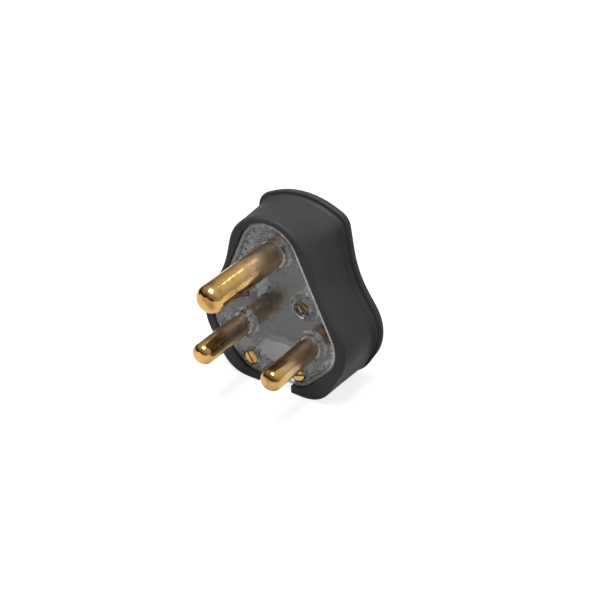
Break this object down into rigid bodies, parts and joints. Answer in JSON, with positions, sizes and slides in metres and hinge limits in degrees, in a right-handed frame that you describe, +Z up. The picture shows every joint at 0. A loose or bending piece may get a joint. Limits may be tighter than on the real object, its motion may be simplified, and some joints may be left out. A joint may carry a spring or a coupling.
{
  "type": "electric plug",
  "caption": "Rewireable electric plug with round brass pins in a clear moulded base, inside a black rubber cover with a finger lip around its back.",
  "frame": {"origin": "on the earth pin's axis, in the front face of the clear pin base", "axes": "+X to the right when the pins are faced, +Y from the pins towards the back of the cover, +Z up from the power pins to the earth pin"},
  "size_m": [0.056, 0.0515, 0.0606],
  "materials": {
    "cover_rubber": "matte",
    "clear_base": "clear",
    "pin_brass": "polished",
    "screw_brass": "satin",
    "clamp_plastic": "satin"
  },
  "bodies": {
    "root": {"rubber_cover": "cover_rubber", "pin_base": "clear_base", "earth_pin": "pin_brass", "live_pin": "pin_brass", "neutral_pin": "pin_brass", "earth_terminal_screw": "screw_brass", "live_terminal_screw": "screw_brass", "neutral_terminal_screw": "screw_brass", "cover_screw_left": "screw_brass", "cover_screw_right": "screw_brass", "cover_insert_left": "screw_brass", "cover_insert_right": "screw_brass", "cord_clamp": "clamp_plastic", "cord_screw_left": "screw_brass", "cord_screw_right": "screw_brass", "cord_nut_left": "screw_brass", "cord_nut_right": "screw_brass"}
  },
  "joints": []
}
